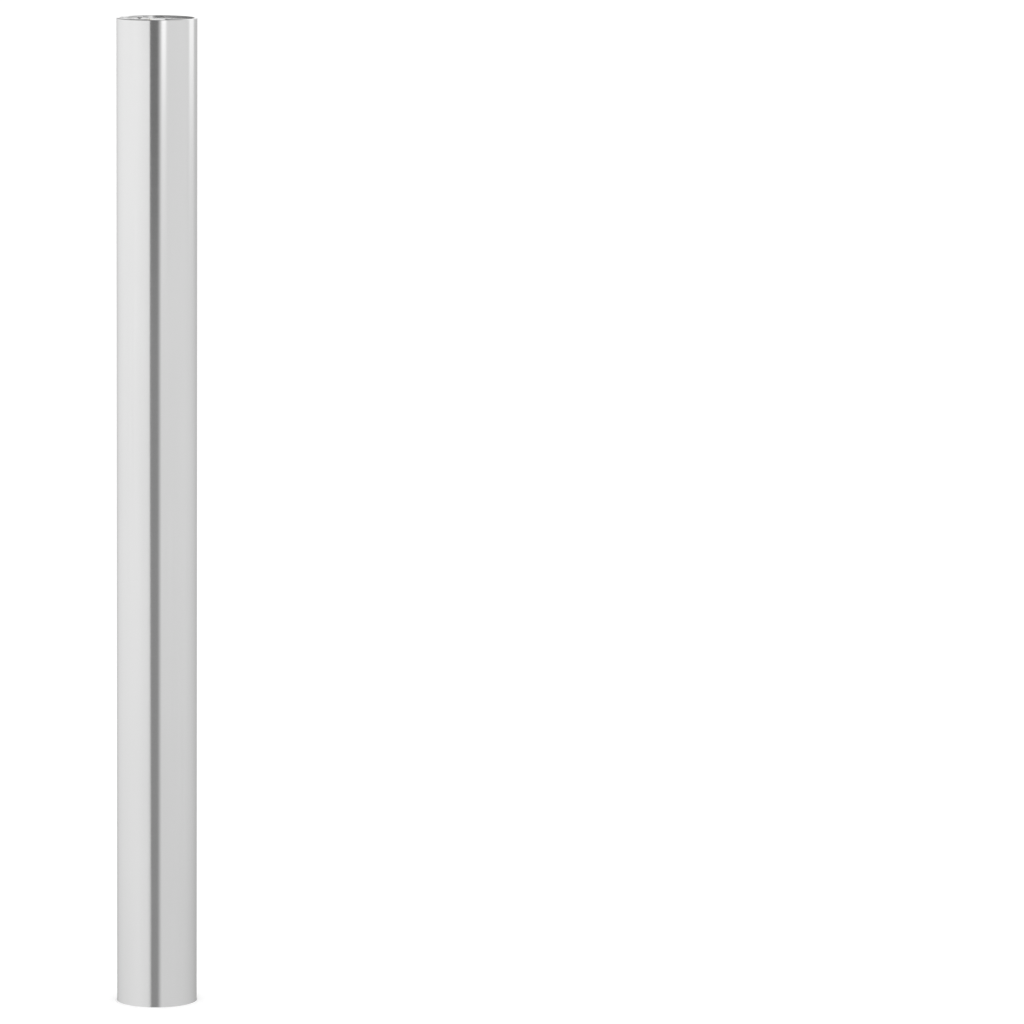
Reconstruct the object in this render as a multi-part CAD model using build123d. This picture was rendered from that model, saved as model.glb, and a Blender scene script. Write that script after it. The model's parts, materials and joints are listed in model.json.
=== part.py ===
from build123d import *
import math
import os

os.makedirs("parts", exist_ok=True)

# Telescopic retractable bollard, in millimetres. +Z is up. The origin is on the post's axis, on the
# underside of the buried anchor flange. The post stands raised and its lock is drawn back.

# ---------------------------------------------------------------- driving sizes: post
POST_D = 76.1
POST_WALL = 2.6
POST_ABOVE = 940.0
POST_BELOW = 180.0
LOWERED_PROUD = 2.0
RIM_ROUND = 0.8

# ---------------------------------------------------------------- driving sizes: casing
FLANGE_DEPTH = 60.0
GUIDE_GAP = 3.5
CASING_WALL = 2.9
HEAD_LIP = 3.55
HEAD_H = 18.0
COLLAR_T = 6.0
COLLAR_EDGE = 0.6
WIPER_H = 6.0
WIPER_BACK = 1.5
LIP_T = 2.0
BUSH_H = 48.0
GREASE_DEEP = 1.0
SLEEVE_H = 44.0
CUSHION_H = 6.0
SLEEVE_GAP = 1.0
RAIL_T = 2.4
RAIL_W = 8.0
FLANGE_SIDE = 150.0
FLANGE_T = 8.0
FLANGE_CORNER = 10.0
ANCHOR_SPACING = 110.0
ANCHOR_HOLE_R = 7.0
GUSSET_T = 5.0
GUSSET_OUT = 22.0
GUSSET_TOE = 4.0
GUSSET_TIP = 3.0
GUSSET_DOWN = 2.0
LUG_T = 5.0
LUG_H = 40.0
LUG_OUT = 40.0
LUG_FOOT = 32.0
LUG_DROP = 520.0
BASE_T = 8.0
BASE_LIP = 10.5
DRAIN_R = 16.85
DRAIN_WALL = 3.2
DRAIN_L = 45.0
BUFFER_T = 12.0
BUFFER_W = 8.0
CUP_WALL = 3.0
CUP_ROOM = 2.0
CUP_END = 3.0

# ---------------------------------------------------------------- driving sizes: clearances
RUN_GAP = 0.3
COLLAR_GAP = 0.6
FIT_GAP = 0.06
SLOT_GAP = 0.2
STRIKE_GAP = 0.6
KEY_GAP = 0.5
ROD_ROOM = 1.5
RACK_ROOM = 0.4
PINION_ROOM = 0.6
ROOT_GAP = 0.2
BEARING_GAP = 0.2

# ---------------------------------------------------------------- driving sizes: gas strut
STRUT_R = 11.0
STRUT_WALL = 1.5
STRUT_END = 8.0
STRUT_ROD_R = 5.0
STUD_R = 4.0
GLAND_H = 20.0
PISTON_H = 12.0
PISTON_ROOM = 5.0
BRACKET_T = 8.0
VENT_R = 6.0
VENT_PLACE = 0.62
VENT_ANGLES = (0.0, 90.0, 270.0)
BRIDGE_H = 14.0
BRIDGE_T = 5.0
BRIDGE_W = 26.0
BRIDGE_HALF = 25.5
NUT_AF = 13.0
FOOT_NUT_H = 5.0
TOP_NUT_H = 6.5

# ---------------------------------------------------------------- driving sizes: lock
LOCK_X = -16.0
LOCK_ROD_R = 4.0
ROD_TAIL = 14.0
BEARING_WALL = 2.0
BEARING_LIP = 1.0
BEARING_LIP_T = 1.5
BEARING_DOWN = 3.0
PITCH_R = 7.5
TEETH = 10
ADDENDUM = 1.2
DEDENDUM = 1.6
PINION_TOOTH = 1.7
RACK_TOOTH = 1.9
TOOTH_FOOT = 0.6
TOOTH_TAPER = 1.0
TOOTH_BURY = 0.4
RACK_BURY = 0.1
PINION_SHORT = 0.5
PRESSURE_ANGLE = math.radians(20.0)
BOLT_W = 6.5
BOLT_H = 12.0
BOLT_INSET = 0.9
BOLT_RISE = 40.0
BOLT_CHAMFER = 1.0
TAIL_GAP = 1.2
LEFT_TEETH = range(-1, 4)
RIGHT_TEETH = range(-3, 2)
CARRIER_LIFT = 8.0
LID_T = 12.0
RING_H = 22.0
STOP_H = 10.0
SCREW_R = 2.5
SCREW_SINK = 0.6
HEX_SOCKET = 1.5
SCREW_L = 12.0

# ---------------------------------------------------------------- driving sizes: cap
CAP_RECESS = 2.0
CAP_T = 14.0
CAP_EDGE = 0.6
CAP_PCD_R = 29.0
CAP_SCREW_R = 2.0
CAP_SCREW_L = 18.0
CAP_SCREW_ANGLES = (50.0, 130.0, 230.0, 310.0)
CAP_LUG = 11.0
CAP_LUG_H = 12.0
HOUSING_R = 9.0
HOUSING_LIP = 2.0
HOUSING_LIP_T = 1.2
LIP_GAP = 0.15
LIP_CHAMFER = 0.3
HOUSING_L = 24.0
WELL_R = 7.6
WELL_D = 13.0
SPINDLE_R = 6.0
SPINDLE_L = 30.0
SHOULDER_LIFT = 0.3
SHOULDER_T = 1.5
ROD_SOCKET = 12.0
ROD_PIN_R = 1.25
ROD_PIN_L = 13.0
ROD_PIN_UP = 3.0
KEY_SIDE = 9.0
KEY_DOWN = 5.0
LOCK_NUT_AF = 22.0
LOCK_NUT_H = 5.0
COVER_R = 9.5
COVER_T = 1.0
COVER_LIFT = 0.2
COVER_PIVOT_Y = 14.0
EAR_EDGE = 0.5
TAB_R = 1.2
TAB_H = 0.7
TAB_IN = 2.2
RIVET_R = 1.5
RIVET_HEAD_R = 3.0
RIVET_HEAD_T = 0.55
RIVET_L = 6.0
HANDLE_X = 11.5
HANDLE_REACH = 15.5
HANDLE_R = 2.0
HANDLE_HALF = 8.0
HANDLE_DROP = 3.4
EYE_R = 3.0
PIN_R = 1.5
PIN_L = 32.0
POCKET_DEPTH = 8.0
POCKET_SIDE = 1.0
POCKET_CORNER = 7.0

# ---------------------------------------------------------------- driving sizes: collar screws
COLLAR_SCREW_R = 2.0
COLLAR_SCREW_L = 16.0
COLLAR_SCREW_HEAD_R = 3.0
COLLAR_SCREW_ANGLES = (45.0, 135.0, 225.0, 315.0)

# ---------------------------------------------------------------- worked-out radii
POST_R = POST_D / 2
POST_BORE = POST_R - POST_WALL
BORE_R = POST_R + GUIDE_GAP
CASING_R = BORE_R + CASING_WALL
HEAD_R = CASING_R + HEAD_LIP
SLIDE_R = BORE_R - RUN_GAP
COLLAR_SCREW_PCD_R = (BORE_R + HEAD_R) / 2
BASE_R = CASING_R + BASE_LIP
BOLT_SIDE = PITCH_R + DEDENDUM
BOLT_FAR = BOLT_SIDE + BOLT_W
BOLT_TIP = math.sqrt(POST_R**2 - BOLT_FAR**2) - BOLT_INSET
THROW = PITCH_R * math.pi / 2
PITCH = 2 * math.pi * PITCH_R / TEETH
LEFT_TAIL = LOCK_X + 4.25 * PITCH
RIGHT_TAIL = TAIL_GAP - math.sqrt(POST_BORE**2 - BOLT_FAR**2)

# ---------------------------------------------------------------- worked-out heights
GROUND_Z = FLANGE_DEPTH
STROKE = POST_ABOVE - LOWERED_PROUD
POST_TOP = GROUND_Z + POST_ABOVE
POST_BOTTOM = GROUND_Z - POST_BELOW
HEAD_TOP = GROUND_Z - COLLAR_T
CASING_TOP = HEAD_TOP - HEAD_H
WIPER_BOTTOM = HEAD_TOP - WIPER_H
BUSH_BOTTOM = WIPER_BOTTOM - BUSH_H
SLEEVE_BOTTOM = BUSH_BOTTOM - SLEEVE_H
CUSHION_BOTTOM = SLEEVE_BOTTOM - CUSHION_H
STOP_TOP = CUSHION_BOTTOM - RUN_GAP
BOLT_Z = POST_BOTTOM + BOLT_RISE
LOW_BOLT_Z = BOLT_Z - STROKE
LOW_BOTTOM = POST_BOTTOM - STROKE
BUFFER_TOP = LOW_BOTTOM - RUN_GAP
BASE_TOP = BUFFER_TOP - BUFFER_T
BASE_BOTTOM = BASE_TOP - BASE_T
CARRIER_BOTTOM = POST_BOTTOM + CARRIER_LIFT
CHANNEL_BOTTOM = BOLT_Z - BOLT_H / 2 - SLOT_GAP
LID_BOTTOM = BOLT_Z + BOLT_H / 2 + SLOT_GAP
LID_TOP = LID_BOTTOM + LID_T
STRUT_BOTTOM = LID_TOP + PISTON_ROOM
GLAND_TOP = STRUT_BOTTOM + GLAND_H
PISTON_BOTTOM = GLAND_TOP + PISTON_ROOM
PISTON_TOP = PISTON_BOTTOM + PISTON_H
STRUT_ROOF = PISTON_TOP + STROKE + PISTON_ROOM
STRUT_TOP = STRUT_ROOF + STRUT_END
BRACKET_TOP = STRUT_TOP + BRACKET_T
BRIDGE_TOP = BASE_TOP + BRIDGE_H
CAP_TOP = POST_TOP - CAP_RECESS
CAP_BOTTOM = CAP_TOP - CAP_T
WELL_FLOOR = CAP_TOP - WELL_D
SPINDLE_BOTTOM = CAP_TOP - SPINDLE_L
COVER_BOTTOM = CAP_TOP + COVER_LIFT
HANDLE_Z = CAP_TOP - HANDLE_DROP

UP = (Align.CENTER, Align.CENTER, Align.MIN)
LOCK_AT = (LOCK_X, 0)


def rod(r, z0, z1, at=(0, 0)):
    """Upright solid cylinder."""
    return Pos(at[0], at[1], z0) * Cylinder(r, z1 - z0, align=UP)


def ring(r_out, r_in, z0, z1, at=(0, 0)):
    """Upright tube."""
    return rod(r_out, z0, z1, at) - rod(r_in, z0 - 1, z1 + 1, at)


def block(x0, x1, y0, y1, z0, z1):
    """Box between two corners."""
    middle = Pos((x0 + x1) / 2, (y0 + y1) / 2, (z0 + z1) / 2)
    return middle * Box(x1 - x0, y1 - y0, z1 - z0)


def hexagon(af, z0, z1, at=(0, 0)):
    """Upright hexagonal prism, sized across its flats."""
    outline = RegularPolygon(af / math.sqrt(3), 6)
    return Pos(at[0], at[1], z0) * extrude(outline, z1 - z0)


def polar(r, degrees):
    return (r * math.cos(math.radians(degrees)), r * math.sin(math.radians(degrees)))


def countersunk(r, head_r, length, top, at):
    """Countersunk screw, head flush with top, with a hexagon socket."""
    cone_h = head_r - r
    shank = rod(r, top - length, top - cone_h, at)
    head = Pos(at[0], at[1], top - cone_h) * Cone(r, head_r, cone_h, align=UP)
    return shank + head - hexagon(r * HEX_SOCKET, top - cone_h, top + 1, at)


def countersink(r, head_r, top, depth, at):
    """Hole that the countersunk screw fills."""
    cone_h = head_r - r
    shank = rod(r, top - depth, top, at)
    return shank + Pos(at[0], at[1], top - cone_h) * Cone(r, head_r, cone_h, align=UP)


def rail_slot(r_out, z0, z1):
    """Room for the key rail in a ring that slides past it."""
    half = RAIL_W / 2 + KEY_GAP
    return block(-half, half, POST_R - 1, r_out + 1, z0 - 1, z1 + 1)


# ================================================================ casing, fixed in the ground
def bolt_windows(gap, z, x_in, x_out):
    """One opening for each of the two locking bolts, which leave on opposite sides."""
    half = BOLT_H / 2 + gap
    left = block(-x_out, -x_in, BOLT_SIDE - gap, BOLT_FAR + gap, z - half, z + half)
    right = block(x_in, x_out, -BOLT_FAR - gap, -BOLT_SIDE + gap, z - half, z + half)
    return left + right


def casing_tube():
    tube = ring(CASING_R, BORE_R, BASE_TOP, CASING_TOP)
    reach = CASING_R + 5
    inner = POST_BORE / 2
    for z in (BOLT_Z, LOW_BOLT_Z):
        tube -= bolt_windows(STRIKE_GAP, z, inner, reach)
    return tube


def casing_head():
    head = ring(HEAD_R, BORE_R, CASING_TOP, HEAD_TOP)
    for a in COLLAR_SCREW_ANGLES:
        at = polar(COLLAR_SCREW_PCD_R, a)
        head -= rod(COLLAR_SCREW_R, GROUND_Z - COLLAR_SCREW_L, HEAD_TOP + 1, at)
    return head


def collar_ring():
    collar = ring(HEAD_R, POST_R + COLLAR_GAP, HEAD_TOP, GROUND_Z)
    collar = chamfer(collar.edges().group_by(Axis.Z)[-1], COLLAR_EDGE)
    for a in COLLAR_SCREW_ANGLES:
        at = polar(COLLAR_SCREW_PCD_R, a)
        collar -= countersink(COLLAR_SCREW_R, COLLAR_SCREW_HEAD_R, GROUND_Z, COLLAR_T + 1, at)
    return collar


def collar_screws():
    return [
        countersunk(
            COLLAR_SCREW_R, COLLAR_SCREW_HEAD_R, COLLAR_SCREW_L, GROUND_Z,
            polar(COLLAR_SCREW_PCD_R, a),
        )
        for a in COLLAR_SCREW_ANGLES
    ]


def wiper_seal():
    """Rubber wiper with a thin lip round the post."""
    body = ring(BORE_R, POST_R + RUN_GAP, WIPER_BOTTOM, HEAD_TOP)
    low = WIPER_BOTTOM + LIP_T
    return body - ring(BORE_R - WIPER_BACK, POST_R, low, low + LIP_T)


def guide_bush():
    bush = ring(BORE_R, POST_R + RUN_GAP, BUSH_BOTTOM, WIPER_BOTTOM)
    groove = ring(POST_R + RUN_GAP + GREASE_DEEP, POST_R, BUSH_BOTTOM + BUSH_H / 3, BUSH_BOTTOM + BUSH_H / 2)
    return bush - groove


def stop_sleeve():
    return ring(BORE_R, POST_R + SLEEVE_GAP, SLEEVE_BOTTOM, BUSH_BOTTOM)


def stop_cushion():
    return ring(BORE_R, POST_R + SLEEVE_GAP, CUSHION_BOTTOM, SLEEVE_BOTTOM)


def key_rail():
    bar = block(-RAIL_W / 2, RAIL_W / 2, 0, BORE_R, BASE_TOP, CUSHION_BOTTOM)
    shell = ring(BORE_R, BORE_R - RAIL_T, BASE_TOP, CUSHION_BOTTOM)
    return bar & shell


def anchor_flange():
    plate = Rectangle(FLANGE_SIDE, FLANGE_SIDE)
    plate = extrude(fillet(plate.vertices(), FLANGE_CORNER), FLANGE_T)
    plate -= rod(CASING_R, -1, FLANGE_T + 1)
    half = ANCHOR_SPACING / 2
    for x in (-half, half):
        for y in (-half, half):
            plate -= rod(ANCHOR_HOLE_R, -1, FLANGE_T + 1, (x, y))
    return plate


def flange_gussets():
    """Four ribs that stiffen the flange against the casing."""
    top = CASING_TOP - GUSSET_DOWN
    profile = Polyline(
        (CASING_R - 1, FLANGE_T), (CASING_R + GUSSET_OUT, FLANGE_T),
        (CASING_R + GUSSET_OUT, FLANGE_T + GUSSET_TOE), (CASING_R + GUSSET_TIP, top), (CASING_R - 1, top),
        close=True,
    )
    rib = extrude(Plane.XZ * make_face(profile), GUSSET_T / 2, both=True)
    rib -= rod(CASING_R, FLANGE_T - 1, top + 1)
    return [Rot(0, 0, a) * rib for a in (0, 90, 180, 270)]


def ground_lugs():
    """Four bent straps that key the casing into the concrete."""
    z0 = GROUND_Z - LUG_DROP
    out = CASING_R + LUG_OUT
    arm = block(CASING_R - 1, out, -LUG_T / 2, LUG_T / 2, z0, z0 + LUG_H)
    foot = block(out - LUG_T, out, -LUG_FOOT / 2, LUG_FOOT / 2, z0, z0 + LUG_H)
    lug = arm + foot - rod(CASING_R, z0 - 1, z0 + LUG_H + 1)
    return [Rot(0, 0, a) * lug for a in (0, 90, 180, 270)]


def strike_cups(z):
    """Closed cups outside the casing that keep the bolt openings clear of concrete."""
    wall = CUP_WALL
    room = STRIKE_GAP + CUP_ROOM
    tip = BOLT_TIP + THROW + CUP_END
    half_in = BOLT_H / 2 + room
    half_out = half_in + wall
    y0 = BOLT_SIDE - room
    y1 = BOLT_FAR + room
    cup = block(0, tip + wall, y0 - wall, y1 + wall, z - half_out, z + half_out)
    cup -= block(-1, tip, y0, y1, z - half_in, z + half_in)
    cup -= rod(CASING_R, z - half_out - 1, z + half_out + 1)
    return [mirror(cup, about=Plane.YZ), mirror(cup, about=Plane.XZ)]


def base_plate():
    return rod(BASE_R, BASE_BOTTOM, BASE_TOP) - rod(DRAIN_R - DRAIN_WALL, BASE_BOTTOM - 1, BASE_TOP + 1)


def drain_spigot():
    return ring(DRAIN_R, DRAIN_R - DRAIN_WALL, BASE_BOTTOM - DRAIN_L, BASE_BOTTOM)


def base_buffer():
    return ring(POST_R, POST_R - BUFFER_W, BASE_TOP, BUFFER_TOP)


def strut_bridge():
    """Channel that straddles the drain and carries the foot of the gas strut."""
    outer = block(-BRIDGE_HALF, BRIDGE_HALF, -BRIDGE_W / 2, BRIDGE_W / 2, BASE_TOP, BRIDGE_TOP)
    under = BRIDGE_HALF - BRIDGE_T
    outer -= block(-under, under, -BRIDGE_W, BRIDGE_W, BASE_TOP - 1, BRIDGE_TOP - BRIDGE_T)
    outer -= rod(STUD_R, BRIDGE_TOP - BRIDGE_T - 1, BRIDGE_TOP + 1)
    return outer


def strut_rod():
    shaft = rod(STRUT_ROD_R, BRIDGE_TOP, PISTON_TOP)
    stud = rod(STUD_R, BRIDGE_TOP - BRIDGE_T - FOOT_NUT_H - 1, BRIDGE_TOP)
    return shaft + stud


def strut_foot_nut():
    top = BRIDGE_TOP - BRIDGE_T
    return hexagon(NUT_AF, top - FOOT_NUT_H, top) - rod(STUD_R, top - FOOT_NUT_H - 1, top + 1)


def strut_piston():
    bore = STRUT_R - STRUT_WALL
    return ring(bore - FIT_GAP, STRUT_ROD_R, PISTON_BOTTOM, PISTON_TOP)


# ================================================================ post, which slides in the casing
def post_tube():
    tube = ring(POST_R, POST_BORE, POST_BOTTOM, POST_TOP)
    tube = fillet(tube.edges().group_by(Axis.Z)[-1], RIM_ROUND)
    tube -= bolt_windows(SLOT_GAP, BOLT_Z, POST_BORE / 2, POST_R + 5)
    for side in (-1, 1):
        tube -= carrier_screw_cut(side)
    return tube


def on_side(side, depth, shape):
    """Turns an upright shape to lie along a radius, its top under the post's surface by depth."""
    z = POST_BOTTOM + RING_H + 2 * SCREW_R + 1
    return Pos(0, side * (POST_R - depth), z) * Rot(-90 * side, 0, 0) * shape


def carrier_screw_cut(side):
    """Radial countersunk hole on one side of the post, into the carrier."""
    sink = countersink(SCREW_R, 2 * SCREW_R, 0, SCREW_L + 2, (0, 0))
    return on_side(side, SCREW_SINK, sink) + on_side(side, 0, Cylinder(2 * SCREW_R, 2 * SCREW_SINK))


def carrier_screws():
    screw = countersunk(SCREW_R, 2 * SCREW_R, SCREW_L, 0, (0, 0))
    return [on_side(side, SCREW_SINK, screw) for side in (-1, 1)]


def cap_lugs():
    """Threaded blocks inside the rim that the cap is screwed to."""
    lugs = []
    for a in CAP_SCREW_ANGLES:
        half = CAP_LUG / 2
        raw = block(CAP_PCD_R - half, POST_BORE + 2, -half, half, CAP_BOTTOM - CAP_LUG_H, CAP_BOTTOM)
        lug = (Rot(0, 0, a) * raw) & rod(POST_BORE, CAP_BOTTOM - CAP_LUG_H - 1, CAP_BOTTOM)
        at = polar(CAP_PCD_R, a)
        lugs.append(lug - rod(CAP_SCREW_R, CAP_BOTTOM - CAP_LUG_H - 1, CAP_BOTTOM + 1, at))
    return lugs


def handle_pocket():
    x0 = HANDLE_X - EYE_R - POCKET_SIDE
    x1 = HANDLE_X + HANDLE_REACH + HANDLE_R + POCKET_SIDE
    half = HANDLE_HALF + HANDLE_R + POCKET_SIDE
    outline = Pos((x0 + x1) / 2, 0) * Rectangle(x1 - x0, 2 * half)
    right = outline.vertices().group_by(Axis.X)[-1]
    outline = fillet(right, POCKET_CORNER)
    return Pos(0, 0, CAP_TOP - POCKET_DEPTH) * extrude(outline, POCKET_DEPTH + 1)


def top_cap():
    cap = rod(POST_BORE, CAP_BOTTOM, CAP_TOP)
    cap = chamfer(cap.edges().group_by(Axis.Z)[-1], CAP_EDGE)
    cap -= rod(HOUSING_R, CAP_BOTTOM - 1, CAP_TOP + 1, LOCK_AT)
    cap -= rod(HOUSING_R + HOUSING_LIP + LIP_GAP, CAP_TOP - HOUSING_LIP_T, CAP_TOP + 1, LOCK_AT)
    cap -= handle_pocket()
    cap -= rod(RIVET_R, CAP_TOP - RIVET_L, CAP_TOP + 1, (LOCK_X, COVER_PIVOT_Y))
    reach = PIN_L / 2 + POST_BORE
    bore = Rot(90, 0, 0) * Cylinder(PIN_R, reach)
    cap -= Pos(HANDLE_X, reach / 2 - PIN_L / 2, HANDLE_Z) * bore
    for a in CAP_SCREW_ANGLES:
        at = polar(CAP_PCD_R, a)
        cap -= countersink(CAP_SCREW_R, CAP_SCREW_R * 2, CAP_TOP, CAP_T + 1, at)
    return cap


def cap_screws():
    return [
        countersunk(CAP_SCREW_R, CAP_SCREW_R * 2, CAP_SCREW_L, CAP_TOP, polar(CAP_PCD_R, a))
        for a in CAP_SCREW_ANGLES
    ]


def lock_housing():
    """Flanged bush, sunk flush in the cap, with the well that the triangular key reaches into."""
    body = rod(HOUSING_R, CAP_TOP - HOUSING_L, CAP_TOP, LOCK_AT)
    lip = rod(HOUSING_R + HOUSING_LIP, CAP_TOP - HOUSING_LIP_T, CAP_TOP, LOCK_AT)
    body += chamfer(lip.edges().group_by(Axis.Z)[-1], LIP_CHAMFER)
    body -= rod(WELL_R, WELL_FLOOR, CAP_TOP + 1, LOCK_AT)
    return body - rod(SPINDLE_R + FIT_GAP, CAP_TOP - HOUSING_L - 1, WELL_FLOOR + 1, LOCK_AT)


def lock_nut():
    nut = hexagon(LOCK_NUT_AF, CAP_BOTTOM - LOCK_NUT_H, CAP_BOTTOM, LOCK_AT)
    return nut - rod(HOUSING_R, CAP_BOTTOM - LOCK_NUT_H - 1, CAP_BOTTOM + 1, LOCK_AT)


def cover_rivet():
    at = (LOCK_X, COVER_PIVOT_Y)
    top = COVER_BOTTOM + COVER_T + COVER_LIFT
    shank = rod(RIVET_R, CAP_TOP - RIVET_L, top, at)
    head = rod(RIVET_HEAD_R, top, top + RIVET_HEAD_T, at)
    head = chamfer(head.edges().group_by(Axis.Z)[-1], RIVET_HEAD_T / 2)
    return shank + head


def handle_pin():
    return Pos(HANDLE_X, 0, HANDLE_Z) * Rot(90, 0, 0) * Cylinder(PIN_R, PIN_L)


def strut_bracket():
    """Plate welded across the post that takes the push of the gas strut."""
    plate = rod(POST_BORE, STRUT_TOP, BRACKET_TOP)
    plate -= rod(STUD_R, STRUT_TOP - 1, BRACKET_TOP + 1)
    plate -= rod(LOCK_ROD_R + BEARING_WALL, STRUT_TOP - 1, BRACKET_TOP + 1, LOCK_AT)
    for a in VENT_ANGLES:
        plate -= rod(VENT_R, STRUT_TOP - 1, BRACKET_TOP + 1, polar(POST_BORE * VENT_PLACE, a))
    return plate


def rod_bearing():
    """Plastic bush that steadies the long lock rod in the bracket."""
    low = STRUT_TOP - BEARING_DOWN
    high = BRACKET_TOP + BEARING_LIP_T
    body = rod(LOCK_ROD_R + BEARING_WALL, low, BRACKET_TOP, LOCK_AT)
    body += rod(LOCK_ROD_R + BEARING_WALL + BEARING_LIP, BRACKET_TOP, high, LOCK_AT)
    body -= rod(LOCK_ROD_R + FIT_GAP, low - 1, high + 1, LOCK_AT)
    return body - rod(STRUT_R + BEARING_GAP, low - 1, STRUT_TOP)


def strut_cylinder():
    body = ring(STRUT_R, STRUT_R - STRUT_WALL, STRUT_BOTTOM, STRUT_ROOF)
    body += rod(STRUT_R, STRUT_ROOF, STRUT_TOP)
    return body + rod(STUD_R, STRUT_TOP, BRACKET_TOP + TOP_NUT_H + 1)


def strut_gland():
    return ring(STRUT_R - STRUT_WALL, STRUT_ROD_R + FIT_GAP, STRUT_BOTTOM, GLAND_TOP)


def strut_top_nut():
    nut = hexagon(NUT_AF, BRACKET_TOP, BRACKET_TOP + TOP_NUT_H)
    return nut - rod(STUD_R, BRACKET_TOP - 1, BRACKET_TOP + TOP_NUT_H + 1)


def bolt_carrier():
    """Plug in the foot of the post with a channel for each bolt and a pocket for the pinion."""
    body = rod(POST_BORE, CARRIER_BOTTOM, LID_BOTTOM)
    body -= rod(STRUT_ROD_R + ROD_ROOM, CARRIER_BOTTOM - 1, LID_BOTTOM + 1)
    inner = PITCH_R - ADDENDUM - RACK_ROOM
    outer = BOLT_FAR + SLOT_GAP
    far = POST_R + 5
    tail = LEFT_TAIL + TAIL_GAP
    body -= block(-far, tail, inner, outer, CHANNEL_BOTTOM, LID_BOTTOM + 1)
    back = RIGHT_TAIL - 2 * SLOT_GAP
    body -= block(back, far, -outer, -inner, CHANNEL_BOTTOM, LID_BOTTOM + 1)
    body -= rod(PITCH_R + ADDENDUM + PINION_ROOM, CHANNEL_BOTTOM, LID_BOTTOM + 1, LOCK_AT)
    body -= rod(LOCK_ROD_R + FIT_GAP, CHANNEL_BOTTOM - ROD_TAIL - 1, LID_BOTTOM, LOCK_AT)
    for side in (-1, 1):
        body -= carrier_screw_cut(side)
    return body


def carrier_lid():
    lid = rod(POST_BORE, LID_BOTTOM, LID_TOP)
    lid -= rod(STRUT_ROD_R + ROD_ROOM, LID_BOTTOM - 1, LID_TOP + 1)
    return lid - rod(LOCK_ROD_R + FIT_GAP, LID_BOTTOM - 1, LID_TOP + 1, LOCK_AT)


def lower_guide_ring():
    body = ring(SLIDE_R, POST_R, POST_BOTTOM, POST_BOTTOM + RING_H)
    return body - rail_slot(SLIDE_R, POST_BOTTOM, POST_BOTTOM + RING_H)


def stop_collar():
    body = ring(SLIDE_R, POST_R, STOP_TOP - STOP_H, STOP_TOP)
    return body - rail_slot(SLIDE_R, STOP_TOP - STOP_H, STOP_TOP)


# ================================================================ lock, which turns in the cap
def lock_spindle():
    """Journal with a triangular drive on top and a socket for the rod below."""
    journal = rod(SPINDLE_R, SPINDLE_BOTTOM, WELL_FLOOR + SHOULDER_LIFT, LOCK_AT)
    shoulder = rod(WELL_R - RUN_GAP, WELL_FLOOR + SHOULDER_LIFT, WELL_FLOOR + SHOULDER_T, LOCK_AT)
    outline = RegularPolygon(KEY_SIDE / math.sqrt(3), 3)
    drive_top = CAP_TOP - KEY_DOWN
    drive = Pos(LOCK_X, 0, WELL_FLOOR) * extrude(outline, drive_top - WELL_FLOOR)
    socket = rod(LOCK_ROD_R, SPINDLE_BOTTOM - 1, SPINDLE_BOTTOM + ROD_SOCKET, LOCK_AT)
    return journal + shoulder + drive - socket - rod_pin()


def lock_rod():
    return rod(LOCK_ROD_R, CHANNEL_BOTTOM - ROD_TAIL, SPINDLE_BOTTOM + ROD_SOCKET, LOCK_AT) - rod_pin()


def rod_pin():
    """Cross pin that ties the spindle to the rod."""
    return Pos(LOCK_X, 0, SPINDLE_BOTTOM + ROD_PIN_UP) * Rot(90, 0, 0) * Cylinder(ROD_PIN_R, ROD_PIN_L)


def tooth_profile(base_w, mid_w, tip_w, root, mid, tip):
    """Outline of one tooth that points along +Y."""
    points = [
        (-base_w / 2, root), (-mid_w / 2, mid), (-tip_w / 2, tip),
        (tip_w / 2, tip), (mid_w / 2, mid), (base_w / 2, root),
    ]
    return make_face(Polyline(*points, close=True))


def lock_pinion():
    half = BOLT_H / 2 - PINION_SHORT
    root = PITCH_R - DEDENDUM - ROOT_GAP
    tip = PITCH_R + ADDENDUM
    disc = Circle(root)
    for n in range(TEETH):
        tooth = tooth_profile(
            PINION_TOOTH + TOOTH_FOOT, PINION_TOOTH, PINION_TOOTH - TOOTH_TAPER, root - TOOTH_BURY, PITCH_R, tip
        )
        disc += Rot(0, 0, n * 360 / TEETH) * tooth
    gear = Pos(LOCK_X, 0, BOLT_Z - half) * extrude(disc, 2 * half)
    return gear - rod(LOCK_ROD_R, BOLT_Z - half - 1, BOLT_Z + half + 1, LOCK_AT)


# ================================================================ locking bolts
def rack(x_tip, x_tail, numbers):
    """Bolt along X on the +Y side of the pinion, with rack teeth on its inner face."""
    low = min(x_tip, x_tail)
    high = max(x_tip, x_tail)
    body = Pos((low + high) / 2, BOLT_SIDE + BOLT_W / 2) * Rectangle(high - low, BOLT_W)
    nose = body.vertices().sort_by(Axis.X)
    nose = nose[:2] if x_tip == low else nose[-2:]
    body = chamfer(nose, BOLT_CHAMFER)
    slope = DEDENDUM * math.tan(PRESSURE_ANGLE)
    rise = ADDENDUM * math.tan(PRESSURE_ANGLE)
    for n in numbers:
        tooth = tooth_profile(
            RACK_TOOTH + 2 * slope, RACK_TOOTH, RACK_TOOTH - 2 * rise,
            -PITCH_R - DEDENDUM - RACK_BURY, -PITCH_R, -PITCH_R + ADDENDUM,
        )
        body += Pos(LOCK_X + (n + 0.5) * PITCH, 0) * mirror(tooth, about=Plane.XZ)
    return Pos(0, 0, BOLT_Z - BOLT_H / 2) * extrude(body, BOLT_H)


def bolt_left():
    return rack(-BOLT_TIP, LEFT_TAIL, LEFT_TEETH)


def bolt_right():
    return mirror(rack(BOLT_TIP, RIGHT_TAIL, RIGHT_TEETH), about=Plane.XZ)


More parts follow.
